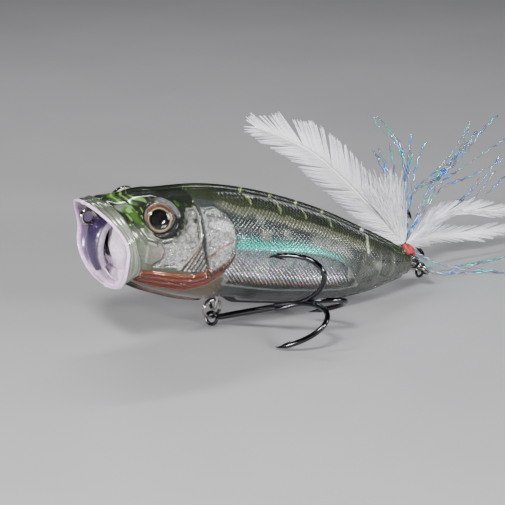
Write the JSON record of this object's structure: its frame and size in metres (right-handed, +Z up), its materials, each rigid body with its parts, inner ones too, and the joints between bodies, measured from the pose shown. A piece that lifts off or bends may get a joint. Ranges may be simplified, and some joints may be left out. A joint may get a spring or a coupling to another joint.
{
  "type": "topwater popper fishing lure",
  "caption": "Jointed topwater popper: hollow fish-shaped body with a cupped mouth, wire eyes, split rings, a belly treble hook and a tail treble dressed with feathers and tinsel.",
  "frame": {"origin": "middle of the whole object, on the table it rests on", "axes": "+Z up from the table, +X from the nose towards the tail, -Y towards the fish's left flank; the body tips its nose 11.7 degrees up in this resting pose"},
  "size_m": [0.0978, 0.0376, 0.0297],
  "materials": {
    "clear_shell": "clear smoked plastic, high gloss, printed scale pattern",
    "foil": "silver scale foil",
    "eye_print": "printed foil disc",
    "eye_clear": "clear domed resin",
    "wire_steel": "bright nickel-plated steel wire",
    "weight_steel": "plain dense metal weight",
    "rattle_plastic": "moulded tube",
    "brass_ball": "polished ball",
    "black_nickel": "black nickel plated hook wire",
    "thread_red": "waxed winding thread under clear lacquer",
    "feather_white": "soft hackle feather",
    "tinsel": "crinkled pearl tinsel fibre"
  },
  "bodies": {
    "lure_body": {"shell_left": "clear_shell", "shell_right": "clear_shell", "foil_plate_left": "foil", "foil_plate_right": "foil", "eye_disc_left": "eye_print", "eye_disc_right": "eye_print", "eye_dome_left": "eye_clear", "eye_dome_right": "eye_clear", "line_tie_eye": "wire_steel", "belly_hanger": "wire_steel", "tail_hanger": "wire_steel", "keel_weight": "weight_steel", "rattle_tube": "rattle_plastic"},
    "rattle": {"rattle_ball": "brass_ball"},
    "belly_ring": {"belly_split_ring": "wire_steel"},
    "belly_hook": {"belly_treble": "black_nickel"},
    "tail_ring": {"tail_split_ring": "wire_steel"},
    "tail_hook": {"tail_treble": "black_nickel", "thread_wrap": "thread_red", "feather_side": "feather_white", "feather_rear_upper": "feather_white", "feather_rear_lower": "feather_white", "tinsel_upper": "tinsel", "tinsel_middle": "tinsel", "tinsel_lower": "tinsel"}
  },
  "joints": [
    {"name": "rattle_slide", "type": "slide", "parent": "lure_body", "child": "rattle", "axis": [0, 1, 0], "range_m": [-0.0016, 0.0016]},
    {"name": "belly_ring_swing", "type": "hinge", "parent": "lure_body", "child": "belly_ring", "pos_m": [-0.02456, 0.00268, 0.00303], "axis": [0, 1, 0], "range_deg": [0, 100]},
    {"name": "belly_hook_swing", "type": "hinge", "parent": "belly_ring", "child": "belly_hook", "pos_m": [-0.02466, 0.00278, 0.00143], "axis": [1, 0, 0], "range_deg": [0, 100]},
    {"name": "tail_ring_swing", "type": "hinge", "parent": "lure_body", "child": "tail_ring", "pos_m": [0.01629, 0.00268, 0.00438], "axis": [0, 1, 0], "range_deg": [-5, 60]},
    {"name": "tail_hook_swing", "type": "hinge", "parent": "tail_ring", "child": "tail_hook", "pos_m": [0.01852, 0.00371, 0.00264], "axis": [-0.5065, 0.766, 0.3957], "range_deg": [-5, 60]}
  ]
}
